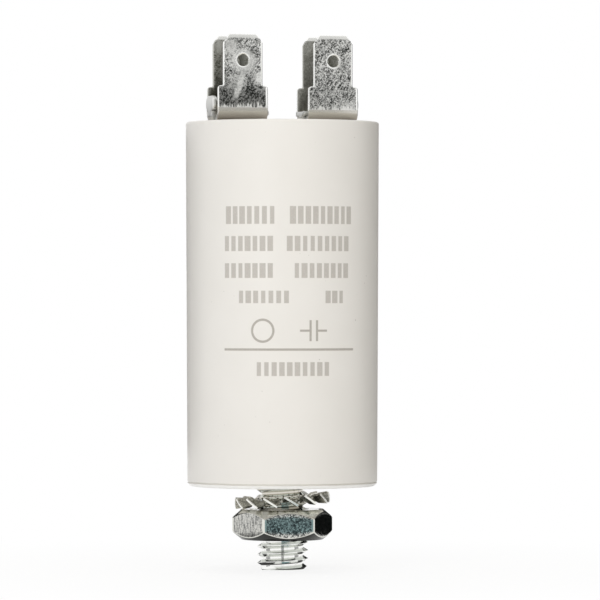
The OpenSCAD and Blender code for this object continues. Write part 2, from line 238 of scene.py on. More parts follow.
class Finish:
    """The nodes of one material, world or stage surface."""

    def __init__(self, owner):
        owner.use_nodes = True
        self.owner = owner
        self.tree = owner.node_tree
        self.tree.nodes.clear()

    def node(self, kind, inputs, output=0, **settings):
        """Makes a node, sets it up, feeds its sockets and gives one of its outputs."""
        made = self.tree.nodes.new(kind)
        for name, value in settings.items():
            setattr(made, name, value)
        for name, value in inputs.items():
            if isinstance(value, Socket):
                self.tree.links.new(value.output, made.inputs[name])
            else:
                made.inputs[name].default_value = value
        return Socket(self, made.outputs[output]) if made.outputs else None

    def maths(self, operation, first, second=0.0):
        return self.node("ShaderNodeMath", {0: first, 1: second}, operation=operation)

    def size(self, value):
        return self.maths("ABSOLUTE", value)

    def most(self, first, second):
        return self.maths("MAXIMUM", first, second)

    def radius(self, x, y):
        return self.maths("SQRT", x * x + y * y)

    def weigh(self, first, second, share):
        """A mix of two values."""
        return first * (1 - share) + second * share

    def object_place(self):
        return self.node("ShaderNodeTexCoord", {}, "Object")

    def stretched(self, place, lengths, turn=ORIGIN):
        """A place in which a pattern comes out longer along each turned axis."""
        return self.node("ShaderNodeMapping", {"Vector": place, "Scale": lengths, "Rotation": turn},
                         vector_type="TEXTURE")

    def parts(self, place):
        """The three coordinates of a place, in millimetres."""
        return [self.node("ShaderNodeSeparateXYZ", {"Vector": place}, axis) * PER_MM for axis in "XYZ"]

    def noise(self, place, scale, detail, roughness=0.55):
        """Soft noise from 0 to 1, with its scale in cells a millimetre."""
        return self.node("ShaderNodeTexNoise", {"Vector": place, "Scale": scale * PER_MM, "Detail": detail,
                                                "Roughness": roughness})

    def flakes(self, place, scale):
        """A random value for each crystal-like cell, with its scale in cells a millimetre."""
        cells = self.node("ShaderNodeTexVoronoi", {"Vector": place, "Scale": scale * PER_MM}, "Color")
        return self.node("ShaderNodeSeparateColor", {"Color": cells})

    def chance(self, value):
        """A random number from 0 to 1 for each value."""
        return self.node("ShaderNodeTexWhiteNoise", {"W": value}, noise_dimensions="1D")

    def ramp(self, value, low, high, out_low=0.0, out_high=1.0):
        """A smooth step of a value from out_low to out_high."""
        return self.node("ShaderNodeMapRange", {"Value": value, "From Min": low, "From Max": high,
                                                "To Min": out_low, "To Max": out_high},
                         interpolation_type="SMOOTHSTEP")

    def over(self, value, limit, soft):
        """1 past a limit and 0 before it, with a soft change."""
        return self.ramp(value, limit - soft, limit + soft)

    def under(self, value, limit, soft):
        """1 before a limit and 0 past it, with a soft change."""
        return self.ramp(value, limit - soft, limit + soft, 1.0, 0.0)

    def within(self, value, low, high, soft):
        """1 between two values and 0 outside them, with soft ends."""
        return self.over(value, low, soft) * self.under(value, high, soft)

    def blend(self, first, second, share):
        """A mix of two colours."""
        return self.node("ShaderNodeMix", {0: share, 6: first, 7: second}, 2, data_type="RGBA")

    def sheen(self, grain, least, most):
        """A roughness between two values, by the grain."""
        return self.ramp(grain, *GRAIN_SPAN, least, most)

    def bump(self, height, depth_mm, strength):
        return self.node("ShaderNodeBump", {"Height": height, "Distance": depth_mm * MM,
                                            "Strength": strength})

    def surface(self, **sockets):
        """Ends the material in one shader, with its sockets named as words joined by underscores."""
        inputs = {name.replace("_", " ").title(): value for name, value in sockets.items()}
        shader = self.node("ShaderNodeBsdfPrincipled", inputs)
        self.node("ShaderNodeOutputMaterial", {"Surface": shader})
        return self.owner


def colour(red, green, blue):
    """A colour from its screen values, 0 to 255."""
    linear = [c / 12.92 if c <= 0.04045 else ((c + 0.055) / 1.055) ** 2.4
              for c in (red / 255, green / 255, blue / 255)]
    return (*linear, 1)


def new_finish(name):
    return Finish(bpy.data.materials.new(name))


# Print on the can, in millimetres up the can and round it from the line that faces the camera.
# A row has its lower and upper height, and the start and the number of blocks of each run.
PRINT_ROWS = (
    (40.5, 43.2, ((-9.3, 7), (1.1, 9))),
    (36.35, 38.65, ((-9.6, 7), (0.6, 9))),
    (32.25, 34.5, ((-9.6, 7), (1.7, 8))),
    (28.4, 30.3, ((-7.1, 7), (6.8, 3))),
    (17.3, 19.4, ((-4.2, 10),)),
)
PRINT_TURN = math.radians(17)
PRINT_SOFT = 0.05
BLOCK_PITCH = 1.2
BLOCK_INK = 0.75
RULE_RISE = (21.15, 21.5)
RULE_SPAN = (-9.5, 12.35)
SIGN_Z = 24.2
RING_S = -3
RING_RADII = (1.5, 1.85)
PLATES_S = 5
PLATE_SPAN = (0.35, 0.7)
PLATE_HALF_H = 1.6
LEAD_SPAN = (0.5, 2.2)
LEAD_HALF_H = 0.16

# Half the width of a block, as a share of the blocks' pitch: the least, and what chance adds
BLOCK_HALF_LEAST = 0.27
BLOCK_HALF_CHANCE = 0.14

# Keeps the chances of different rows apart
ROW_CHANCE_STEP = 31


def printed_blocks(finish, s, z):
    """The ink of each run of small blocks."""
    for row, (low, high, runs) in enumerate(PRINT_ROWS):
        rise = finish.within((z - low) / (high - low), 0.0, 1.0, 0.02)
        for start, count in runs:
            along = (s - start) / BLOCK_PITCH
            block = finish.maths("FLOOR", along)
            chance = finish.chance(block + start + row * ROW_CHANCE_STEP)
            half_width = chance * BLOCK_HALF_CHANCE + BLOCK_HALF_LEAST
            from_middle = finish.size(along - block - 0.5)
            blocks = finish.over(half_width - from_middle, 0, 0.04) * rise
            yield blocks * finish.within(along, 0, count, PRINT_SOFT) * BLOCK_INK


def ring_sign(finish, s, z):
    return finish.within(finish.radius(s - RING_S, z - SIGN_Z), *RING_RADII, PRINT_SOFT)


def plates_sign(finish, s, z):
    """The two plates of a capacitor, each with its lead."""
    across = finish.size(s - PLATES_S)
    up = finish.size(z - SIGN_Z)
    plates = finish.within(across, *PLATE_SPAN, PRINT_SOFT) * finish.under(up, PLATE_HALF_H, PRINT_SOFT)
    leads = finish.within(across, *LEAD_SPAN, PRINT_SOFT) * finish.under(up, LEAD_HALF_H, PRINT_SOFT)
    return finish.most(plates, leads)


def printed_ink(finish, s, z):
    """The share of ink: a rule, rows of small blocks and two signs."""
    ink = finish.within(z, *RULE_RISE, PRINT_SOFT) * finish.within(s, *RULE_SPAN, PRINT_SOFT)
    for mark in (*printed_blocks(finish, s, z), ring_sign(finish, s, z), plates_sign(finish, s, z)):
        ink = finish.most(ink, mark)
    return ink


def can_plastic():
    """Satin ivory plastic with faint flow marks, dust specks and grey print, with a painted highlight on the
    foot's chamfer and painted shade in the groove above it.
    """
    finish = new_finish("can_plastic")
    place = finish.object_place()
    x, y, z = finish.parts(place)
    s = (finish.maths("ARCTAN2", x, y * -1) + PRINT_TURN) * CAN_R
    worn = finish.ramp(finish.noise(place, 5, 2), 0.2, 0.5, 0.75, 1.0)
    cloud = finish.noise(place, 0.09, 4)
    grain = finish.noise(place, 6, 3)
    speck = finish.ramp(finish.noise(place, 2.2, 1), 0.79, 0.83)
    # Painted highlight: the foot's chamfer is lighter, as if lit from the floor below
    foot_highlight = finish.within(z, 0.08, FOOT_CHAMFER, 0.05)
    # Painted shade: the groove above the foot is darker
    groove_shade = finish.within(z, GROOVE_LOW, GROOVE_HIGH, 0.06)
    plain = finish.blend(colour(238, 235, 231), colour(232, 229, 224), cloud)
    dusty = finish.blend(plain, colour(140, 136, 126), speck * 0.55)
    foot_highlit = finish.blend(dusty, colour(250, 249, 247), foot_highlight)
    groove_shaded = finish.blend(foot_highlit, colour(206, 203, 195), groove_shade * 0.7)
    printed = finish.blend(groove_shaded, colour(176, 170, 163), printed_ink(finish, s, z) * worn)
    return finish.surface(base_color=printed, roughness=finish.ramp(cloud, 0.2, 0.8, 0.34, 0.42),
                          normal=finish.bump(grain, 0.012, 0.35))


def lid_plastic():
    """Matte ivory plastic with a sparked mould texture."""
    finish = new_finish("lid_plastic")
    place = finish.object_place()
    grain = finish.noise(place, 4.5, 4, 0.7)
    cloud = finish.noise(place, 0.15, 3)
    tint = finish.blend(colour(232, 229, 222), colour(222, 218, 209), cloud)
    return finish.surface(base_color=tint, roughness=finish.sheen(grain, 0.5, 0.65),
                          normal=finish.bump(grain, 0.03, 0.6))


# Wiped patches beside the left catch holes: place across and up from the hole, and radius
WIPED_PATCHES = ((0, 0, 1.85), (-2, 2.2, 1), (2.5, -2.6, 0.8))
WIPED_SLANT = math.radians(18)
WIPED_STREAK = (0.15, 1.05)
WIPED_STREAK_RISE = (-5.9, -1.4)
SPECK_SLANT = math.radians(38)

# Bands along the upright edges of the sheet: inset and softness
BLADE_COIN_BAND = (EDGE_BEVEL_W + 0.02, 0.07)
SIDE_COIN_BAND = (SIDE_BEVEL_W, 0.1)
CUT_BAND = (CUT_EASE, 0.06)
# The last band carries a painted dark line of shade
EDGE_SHADE_BAND = (0.14, 0.06)

# Heights above the lid over which the specks go from darker, lower down, to their full tone, and over which
# the painted light on the ears grows
DARKER_LOW_RISE = (3.2, 9.2)
EAR_RISE = (1, 3.8)

# Height of the line above the bend where the tin's tone changes, and what the left terminal adds to it
BEND_LINE_RISE = 0.1
LEFT_LINE_RISE = 0.25

# Reach of the ears and of the catch hole's burnished rim, and the shade beside the hole between the blades
EAR_REACH = (3.2, 3.5)
HOLE_RIM_R = 0.7
HOLE_SHADE_RISE = (-1.3, 1.3)
HOLE_SHADE_SPAN = (0.3, 3)


class TerminalPoint:
    """Where a point lies on its terminal, in millimetres, and its share in each of the terminal's regions."""

    def __init__(self, finish):
        self.place = finish.object_place()
        x, self.y, z = finish.parts(self.place)
        self.side = x - finish.maths("SIGN", x) * TERMINAL_X
        self.off_axis = finish.size(self.side)
        self.off_middle = finish.size(self.y)
        self.height = z - LID_TOP
        self.above_hole = self.height - CATCH_Z
        self.left = finish.under(x, 0, 3)
        self.above_bend = self.height - (self.left * LEFT_LINE_RISE + BEND_Z + BEND_LINE_RISE)
        self.bent = finish.ramp(self.above_bend, -0.12, 0.08, 1.0, 0.0)
        self.above_shoulder = finish.over(self.height, SHOULDER_Z, 0.1)
        self.tip = finish.over(self.height, BLADE_TIP - TIP_BEVEL_L + 0.05, 0.05)
        past_foot = finish.ramp(self.off_axis, *EAR_REACH)
        self.ear = finish.under(self.off_middle, EAR_HALF_W + 0.2, 0.1) * past_foot
        between = finish.under(self.off_middle, BLADE_GAP / 2 + 0.3, 0.2)
        # The faces between the blades, out of the bends, ears and tips, take painted shade
        self.shade_between_blades = between * (1 - self.bent) * (1 - self.ear) * (1 - self.tip)


def wiped_tin(finish, at):
    """Tin that a wipe left bright on the left terminal: ragged patches and one slanting streak."""
    ragged = finish.noise(at.place, 0.9, 3) - 0.5
    across = at.side * math.cos(WIPED_SLANT) - at.above_hole * math.sin(WIPED_SLANT) + ragged * 0.6
    wiped = finish.within(across, *WIPED_STREAK, 0.2) * finish.within(at.above_hole, *WIPED_STREAK_RISE, 0.5)
    for patch_x, patch_z, radius in WIPED_PATCHES:
        reach = finish.radius(at.side - patch_x, at.above_hole - patch_z) + ragged * 1.6
        wiped = finish.most(wiped, finish.under(reach, radius, 0.35))
    return wiped * at.left


def edge_bands(finish, at, across, blade_band, side_band):
    """1 along the upright edges of the blades and of the wider sheet below their shoulders."""
    blade, side = (finish.ramp(across, edge - inset, edge - inset + soft)
                   for edge, (inset, soft) in ((BLADE_HALF_W, blade_band), (SHOULDER_X, side_band)))
    return finish.most(blade * at.above_shoulder, side)


def burnished_and_highlit_tin(finish, at):
    """Tin made lighter on coined and cut edges, shoulders, tips and the rims of the catch holes: partly
    burnished by the press, partly painted highlights.
    """
    # Painted highlights: the coined bands only on the right-hand side, the shoulders' cut edges and the catch
    # holes' rims
    right_side = finish.ramp(at.side, 0, 0.5)
    coined = edge_bands(finish, at, at.off_axis, BLADE_COIN_BAND, SIDE_COIN_BAND) * right_side
    shoulder = finish.within(at.height, SHOULDER_Z - CUT_EASE, SHOULDER_Z + CUT_EASE, 0.04)
    shoulder = shoulder * finish.over(at.off_axis, BLADE_HALF_W, 0.1)
    cut = finish.most(edge_bands(finish, at, at.off_axis, CUT_BAND, CUT_BAND), shoulder)
    hole_r = finish.radius(at.side, at.above_hole)
    hole_rim = finish.within(hole_r, HOLE_RIM_R, CATCH_R + CATCH_EASE, 0.06)
    return finish.most(finish.most(coined, cut), finish.most(at.tip, hole_rim)) * (1 - at.ear)


def ear_painted_light(finish, at):
    """The tone of the ears, with painted light: lighter towards the top and along the front edge."""
    edge = finish.ramp(at.off_middle, EAR_HALF_W - 0.5, EAR_HALF_W - 0.25)
    front = finish.ramp(at.y, 0, 0.5, 1.0, 0.0)
    return finish.ramp(at.height, *EAR_RISE, 0.56, 0.7) + edge * front * 0.25


def tinned_sheet():
    """Hot-tinned sheet: dark and bright specks, wiped patches, scratches, edges partly burnished by the press
    and partly painted highlights, painted shade between the blades and down the bends, and painted light on
    the ears.
    """
    finish = new_finish("tinned_sheet")
    at = TerminalPoint(finish)
    fine = finish.noise(at.place, 9, 2, 0.6)
    streak = finish.noise(finish.stretched(at.place, (1, 1, 5), (0, SPECK_SLANT, 0)), 3.4, 2)
    cloud = finish.noise(at.place, 0.45, 1)
    clouded = (cloud - 0.5) * (at.left * 0.45 + 0.1)
    specks = finish.flakes(at.place, 6.2) * 0.4 + fine * 0.4 + streak * 0.6 + clouded
    specks = finish.ramp(specks, 0.46, 0.94)
    # The specks are darker towards the lid, more on the left terminal
    darker_low = finish.ramp(at.height, *DARKER_LOW_RISE, 0.62, 0.0) * (at.left * 0.75 + 0.25)
    specks = finish.weigh(specks * (1 - darker_low), specks * 0.4 + 0.62, wiped_tin(finish, at))
    burnished_and_highlit = burnished_and_highlit_tin(finish, at)
    smooth = finish.most(at.bent, finish.most(burnished_and_highlit, at.ear))
    tone = finish.weigh(specks, fine * 0.3 + streak * 0.15 + 0.72, smooth)
    scratch = finish.noise(finish.stretched(at.place, (1, 1, 40)), 6.5, 1) * 0.7 + cloud * 0.6
    scraped = finish.ramp(scratch - at.above_bend * 0.22, 0.57, 0.63)
    # Painted shade: a thin dark line along the right-hand upright edges
    edge_shade_line = edge_bands(finish, at, at.side, EDGE_SHADE_BAND, EDGE_SHADE_BAND) * (1 - at.ear)
    tone = finish.most(tone, finish.most(burnished_and_highlit, scraped)) * (1 - edge_shade_line * 0.75)
    # Painted shade on the back blade beside the catch hole, where it is seen through the front one
    hole_shade = finish.within(at.above_hole, *HOLE_SHADE_RISE, 0.3)
    hole_shade = hole_shade * finish.within(at.side, *HOLE_SHADE_SPAN, 0.3)
    # Painted shade on the faces between the blades, different on the two terminals
    shaded = (tone * (at.left * 0.25 + 0.35) + (1 - at.left) * 0.2 + 0.05) * (1 - hole_shade * 0.5)
    tone = finish.weigh(tone, shaded, at.shade_between_blades)
    # Painted light on the ears
    tone = finish.weigh(tone, ear_painted_light(finish, at), at.ear)
    metal = finish.blend(colour(48, 50, 47), colour(252, 252, 249), tone)
    # The painted shade between the blades also turns olive
    metal = finish.blend(metal, colour(150, 148, 128), at.shade_between_blades * 0.3)
    # Painted shade: the bends grow darker down towards the lid
    up_bend = finish.ramp(at.above_bend, 0.2 - BEND_Z, 0)
    bend_shade_tint = finish.blend(colour(160, 153, 145), colour(216, 213, 205), up_bend)
    warm = finish.blend(metal, bend_shade_tint, at.bent * (1 - at.ear) * 0.9)
    return finish.surface(base_color=warm, metallic=1.0, roughness=0.34 - smooth * 0.1 + at.ear * 0.16,
                          normal=finish.bump(specks * (1 - smooth), 0.02, 0.5))


def brass():
    """Drawn brass with a light tarnish."""
    finish = new_finish("brass")
    place = finish.object_place()
    cloud = finish.noise(place, 0.8, 3)
    grain = finish.noise(place, 9, 2)
    tint = finish.blend(colour(214, 190, 128), colour(176, 146, 84), cloud)
    return finish.surface(base_color=tint, metallic=1.0, roughness=finish.sheen(grain, 0.22, 0.36),
                          normal=finish.bump(grain, 0.006, 0.4))


def plated_thread():
    """Bright plated steel, with slightly dull flanks on the thread and painted shade on the thread above the
    nut.
    """
    finish = new_finish("plated_thread")
    place = finish.object_place()
    x, y, z = finish.parts(place)
    above_nut = z - NUT_HIGH
    flank = finish.within(finish.radius(x, y), STUD_R - THREAD_DEPTH + 0.1, STUD_R - 0.06, 0.04)
    cloud = finish.noise(place, 1.3, 3)
    grain = finish.noise(finish.stretched(place, (4, 4, 1)), 8, 2)
    bright = finish.blend(colour(254, 254, 252), colour(246, 246, 244), cloud)
    # Painted shade: the thread above the nut is darker, most of all next to the nut
    upper_painted_shade = finish.blend(colour(148, 143, 130), colour(214, 210, 200), finish.ramp(above_nut, 0.4, 1.4))
    plated = finish.blend(bright, upper_painted_shade, finish.ramp(above_nut, -0.3, 0.2))
    tint = finish.blend(plated, colour(226, 228, 224), flank)
    return finish.surface(base_color=tint, metallic=1.0, roughness=finish.sheen(grain, 0.06, 0.12),
                          normal=finish.bump(grain, 0.003, 0.3))


# Where the nut's left flat begins
LEFT_FLAT_X = -4.9


def speckled_zinc():
    """Zinc plate: a faceted grain, drawing marks on the left flat, turned chamfers and corners, and painted
    shade on the top face and the lower chamfer.
    """
    finish = new_finish("speckled_zinc")
    place = finish.object_place()
    x, y, z = finish.parts(place)
    radius = finish.radius(x, y)
    end = finish.maths("MINIMUM", NUT_HIGH - z, z - NUT_LOW) - (radius - NUT_FACE_R) * NUT_SLOPE
    turned = finish.most(finish.under(end, 0.1, 0.04), finish.over(radius, NUT_CORNER_R - 0.2, 0.04))
    turned = turned * finish.ramp(radius, NUT_MOUTH_R, NUT_MOUTH_R + 0.3)
    speck = finish.flakes(place, 6)
    fine = finish.noise(place, 8, 2, 0.6)
    drawn = finish.noise(finish.stretched(place, (1, 1, 8)), 6, 2)
    brushed = finish.under(x, LEFT_FLAT_X, 0.2)
    grain = speck * (0.6 - brushed * 0.4) + fine * (0.5 - brushed * 0.2) + drawn * (brushed * 0.8 + 0.1)
    tone = finish.ramp(grain, brushed * 0.06 + 0.36, 0.92) * (1 - brushed * 0.14)
    flat = finish.blend(colour(74, 77, 77), colour(230, 229, 223), tone)
    # Painted shade: the top face and the lower chamfer are darker
    upper_painted_shade = finish.over(z, NUT_HIGH - 0.2, 0.1)
    lower_painted_shade = finish.under(end, 0.025, 0.01) * finish.under(z, NUT_LOW + 1.5, 0.1)
    chamfered = finish.blend(colour(226, 226, 219), colour(168, 167, 157), upper_painted_shade)
    chamfered = finish.blend(chamfered, colour(62, 63, 61), lower_painted_shade)
    tint = finish.blend(flat, chamfered, turned)
    return finish.surface(base_color=tint, metallic=1.0, roughness=finish.sheen(fine, 0.09, 0.13),
                          normal=finish.bump(fine * (1 - turned), 0.006, 0.5))


def spring_steel():
    """Plated spring steel: dull, mottled faces and bright ends on the teeth, partly sheared steel and partly
    a painted highlight.
    """
    finish = new_finish("spring_steel")
    place = finish.object_place()
    x, y, _ = finish.parts(place)
    # Partly a painted highlight: the teeth's outer ends are brighter
    sheared_and_highlit = finish.over(finish.radius(x, y), WASHER_R - 0.15, 0.05)
    cloud = finish.noise(place, 1.1, 3)
    grain = finish.noise(place, 6, 2)
    mottle = finish.ramp(cloud * 0.5 + grain * 0.5, 0.32, 0.68)
    dull = finish.blend(colour(146, 145, 135), colour(246, 244, 234), mottle)
    tint = finish.blend(dull, colour(250, 250, 244), sheared_and_highlit)
    return finish.surface(base_color=tint, metallic=1.0, roughness=finish.sheen(grain, 0.24, 0.38),
                          normal=finish.bump(grain, 0.012, 0.5))


def inner_finish(name, light, dark, roughness, metallic, stretch, scale):
    """A finish for a piece that the can encloses."""
    finish = new_finish(name)
    place = finish.stretched(finish.object_place(), stretch)
    grain = finish.noise(place, scale, 4)
    tint = finish.blend(colour(*light), colour(*dark), finish.ramp(grain, *GRAIN_SPAN))
    return finish.surface(base_color=tint, metallic=metallic,
                          roughness=finish.ramp(grain, 0.2, 0.8, roughness, roughness + 0.15),
                          normal=finish.bump(grain, 0.02, 0.5))


def whole(bm):
    return bm.verts[:] + bm.edges[:] + bm.faces[:]


def in_order(parts):
    """Each part of a mesh once, in the same order on each run."""
    return list(dict.fromkeys(parts))


def sharp_edges(bm, least):
    return [edge for edge in bm.edges if edge.is_manifold and edge.calc_face_angle() > least]


def round_edges(bm, edges, offset, segments):
    bmesh.ops.bevel(bm, geom=edges, offset=offset, segments=segments, profile=0.5, affect="EDGES",
                    material=-1)


def lathe(bm, profile, steps):
    """Spins a closed profile of (radius, height, rounding) about Z."""
    verts = [bm.verts.new((r, 0, z)) for r, z, rounding in profile]
    for first, second in zip(verts, verts[1:] + verts[:1]):
        bm.edges.new((first, second))
    for vert, (r, z, rounding) in zip(verts, profile):
        if rounding:
            bmesh.ops.bevel(bm, geom=[vert], offset=rounding, segments=ROUNDING_STEPS, profile=0.5,
                            affect="VERTICES", material=-1)
    bmesh.ops.spin(bm, geom=bm.verts[:] + bm.edges[:], cent=ORIGIN, axis=UP, angle=FULL_TURN, steps=steps,
                   use_merge=True)


def new_ring(bm, radius, height):
    """The edges of a new circle about Z."""
    verts = bmesh.ops.create_circle(bm, segments=ROUND_STEPS, radius=radius,
                                    matrix=Matrix.Translation((0, 0, height)))["verts"]
    return in_order(edge for vert in verts for edge in vert.link_edges)


def raise_ring(bm, edges, radius, height):
    """Extrudes a ring about Z; radius is a function of the angle, and height one of the new radius."""
    made = bmesh.ops.extrude_edge_only(bm, edges=edges)["geom"]
    verts = {item for item in made if isinstance(item, bmesh.types.BMVert)}
    for vert in verts:
        angle = math.atan2(vert.co.y, vert.co.x)
        r = radius(angle)
        vert.co = (r * math.cos(angle), r * math.sin(angle), height(r))
    return [item for item in made if isinstance(item, bmesh.types.BMEdge) and verts.issuperset(item.verts)]


def round_outline(r):
    return lambda angle: r


def hexagon_outline(apothem):
    """The radius of a hexagon with a corner on +X, by angle."""
    sixth = FULL_TURN / 6
    return lambda angle: apothem / math.cos(angle % sixth - sixth / 2)


def level(z):
    return lambda r: z


def place_mesh(bm, name, material):
    """Puts a finished mesh in the scene as an object of its own."""
    mesh = bpy.data.meshes.new(name)
    bm.to_mesh(mesh)
    bm.free()
    mesh.materials.append(material)
    placed = bpy.data.objects.new(name, mesh)
    bpy.context.scene.collection.objects.link(placed)
    return placed


def make_piece(bm, name, node, material):
    """Closes a mesh, scales it to metres and lets it stand for its solid."""
    bmesh.ops.remove_doubles(bm, verts=bm.verts[:], dist=MERGE)
    bmesh.ops.dissolve_degenerate(bm, edges=bm.edges[:], dist=MERGE)
    bmesh.ops.recalc_face_normals(bm, faces=bm.faces[:])
    bmesh.ops.scale(bm, vec=(MM, MM, MM), verts=bm.verts[:])
    for face in bm.faces:
        face.smooth = True
    for edge in bm.edges:
        edge.smooth = edge.is_manifold and edge.calc_face_angle() < SHARP
    piece = place_mesh(bm, name, material)
    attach(piece, "root")
    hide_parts(node)


def can_shell():
    """The moulded can, with its lid ledge, its seat recess and the hexagon pocket for the stud's head."""
    pocket = hexagon_outline(STUD_HEAD_APOTHEM + STUD_HOLE_R - STUD_R)
    corner_r = pocket(0)
    groove_r = CAN_BASE_R - GROOVE_DEPTH
    bm = bmesh.new()
    lathe(bm, (
        (STUD_HOLE_R, CAN_BASE_T, 0),
        (STUD_HOLE_R, SEAT_RECESS_H, MOULD_EASE),
        (SEAT_RECESS_R, SEAT_RECESS_H, MOULD_EASE),
        (SEAT_RECESS_R, 0, MOULD_EASE),
        (CAN_BASE_R - FOOT_CHAMFER, 0, FOOT_ROUND),
        (CAN_BASE_R, FOOT_CHAMFER, LIP_ROUND),
        (groove_r, GROOVE_LOW, 0),
        (groove_r, (GROOVE_LOW + GROOVE_HIGH) / 2, 0),
        (CAN_BASE_R, GROOVE_HIGH, GROOVE_ROUND),
        (CAN_R, CAN_H, RIM_ROUND),
        (LID_LEDGE_R, CAN_H, RIM_INNER_ROUND),
        (LID_LEDGE_R, LID_LEDGE_Z, 0),
        (CAVITY_R, LID_LEDGE_Z, MOULD_EASE),
        (CAVITY_R, CAN_BASE_T, CAVITY_FILLET),
        (BOSS_R, CAN_BASE_T, CAVITY_FILLET),
        (BOSS_R, BOSS_TOP, BOSS_ROUND),
        (corner_r, BOSS_TOP, 0),
        (corner_r, CAN_BASE_T, 0),
    ), ROUND_STEPS)
    for vert in bm.verts:
        if abs(vert.co.xy.length - corner_r) < MERGE and vert.co.z < BOSS_TOP + MERGE:
            vert.co.xy *= pocket(math.atan2(vert.co.y, vert.co.x)) / corner_r
    return bm


def lid_disc():
    """The lid, with its rivet holes and an eased upper edge."""
    bm = bmesh.new()
    for radius, x, steps in ((LID_R, 0, ROUND_STEPS),
                             (RIVET_HOLE_R, -TERMINAL_X, HOLE_STEPS),
                             (RIVET_HOLE_R, TERMINAL_X, HOLE_STEPS)):
        bmesh.ops.create_circle(bm, segments=steps, radius=radius, matrix=Matrix.Translation((x, 0, LID_TOP)))
    bmesh.ops.triangle_fill(bm, use_beauty=True, edges=bm.edges[:], normal=UP)
    bmesh.ops.solidify(bm, geom=bm.faces[:], thickness=LID_T)
    rim = [edge for edge in bm.edges
           if all(vert.co.z > LID_TOP - MERGE and vert.co.xy.length > LID_R - MERGE for vert in edge.verts)]
    round_edges(bm, rim, LID_EASE, LID_EASE_STEPS)
    return bm


def arc(x, y, r, start, end, steps):
    """Points along an arc, both ends included, between two angles in degrees."""
    angles = [math.radians(start + (end - start) * i / steps) for i in range(steps + 1)]
    return [(x + r * math.cos(a), y + r * math.sin(a)) for a in angles]


def blank_corner(bm, neck, head, side):
    """One corner of a terminal's flat blank, from the rivet hole out to an ear and up to a blade's tip."""
    end_r = head / 2
    head_x = EAR_BEND_X + EAR_BEND_FLAT + neck
    round_y = EAR_HALF_W - end_r
    under = max(0, (EAR_NECK_HALF_W - round_y) / end_r)
    edge_shade_line = [(head_x + head, 0)]
    edge_shade_line += arc(head_x + end_r, round_y, end_r, 0, 180 - math.degrees(math.asin(under)), steps=14)
    if not under:
        edge_shade_line.append((head_x, EAR_NECK_HALF_W))
    edge_shade_line += [(EAR_BEND_X, EAR_NECK_HALF_W), (EAR_BEND_X, BEND_Y), (SHOULDER_X, BEND_Y)]
    edge_shade_line += arc(SHOULDER_X - SHOULDER_ROUND, FLAT_SHOULDER - SHOULDER_ROUND, SHOULDER_ROUND, 0, 90,
                   steps=6)
    edge_shade_line += [(BLADE_HALF_W, FLAT_SHOULDER), (BLADE_HALF_W, FLAT_TIP - TIP_CUT_L),
                (BLADE_HALF_W - TIP_CUT_W, FLAT_TIP), (0, FLAT_TIP)]
    edge_shade_line += arc(0, FLAT_CATCH, CATCH_R, 90, -90, steps=20)
    edge_shade_line += arc(0, 0, RIVET_HOLE_R, 90, 0, steps=10)
    bm.faces.new([bm.verts.new((side * x, y, SHEET_T)) for x, y in edge_shade_line])


def score(bm, direction, place, nearest=-1, furthest=math.inf):
    """Cuts the faces between two distances off the rivet, at one place along a direction."""
    faces = [face for face in bm.faces if nearest < abs(face.calc_center_median().y) < furthest]
    geometry = in_order(part for face in faces for part in (face, *face.edges, *face.verts))
    bmesh.ops.bisect_plane(bm, geom=geometry, dist=MERGE, plane_co=direction * place, plane_no=direction)


def score_blank(bm):
    """Cuts the blank along its bends and where the coined edges and tips begin."""
    side_coin = SHOULDER_X - SIDE_BEVEL_W
    blade_coin = BLADE_HALF_W - EDGE_BEVEL_W
    for side in (-1, 1):
        for step in range(BEND_STEPS + 1):
            score(bm, ALONG_BLANK, side * (BEND_Y + BEND_FLAT * step / BEND_STEPS))
        for place in (FLAT_SHOULDER + EDGE_BEVEL_FADE, FLAT_TIP - TIP_BEVEL_L, COIN_START):
            score(bm, ALONG_BLANK, side * place)
        for place in (-side_coin, side_coin):
            score(bm, ACROSS_BLANK, place, nearest=COIN_START)
        score(bm, ACROSS_BLANK, side * blade_coin, nearest=FLAT_SHOULDER)
        for step in range(EAR_BEND_STEPS + 1):
            ear_bend = EAR_BEND_X + EAR_BEND_FLAT * step / EAR_BEND_STEPS
            score(bm, ACROSS_BLANK, side * ear_bend, furthest=BEND_Y)


def in_ear(x, y):
    return abs(x) > SHOULDER_X + MERGE or (abs(x) > EAR_BEND_X - MERGE and abs(y) < EAR_NECK_HALF_W + MERGE)


def folded(length, start, flat, inner_r, height):
    """How far out and how high a point of the sheet goes when it is bent up along a line."""
    along = length - start
    angle = min(along / flat, 1) * QUARTER_TURN
    r = inner_r + SHEET_T - height
    rise = max(0, along - flat)
    return start + r * math.sin(angle), inner_r + SHEET_T - r * math.cos(angle) + rise


def fold(vert):
    """Bends the blades and the ears up from the flat blank."""
    x, y, z = vert.co
    if abs(x) > EAR_BEND_X and in_ear(x, y):
        out, z = folded(abs(x), EAR_BEND_X, EAR_BEND_FLAT, EAR_BEND_R, z)
        x = math.copysign(out, x)
    elif abs(y) > BEND_Y:
        out, z = folded(abs(y), BEND_Y, BEND_FLAT, BEND_R, z)
        y = math.copysign(out, y)
    vert.co = (x, y, z)


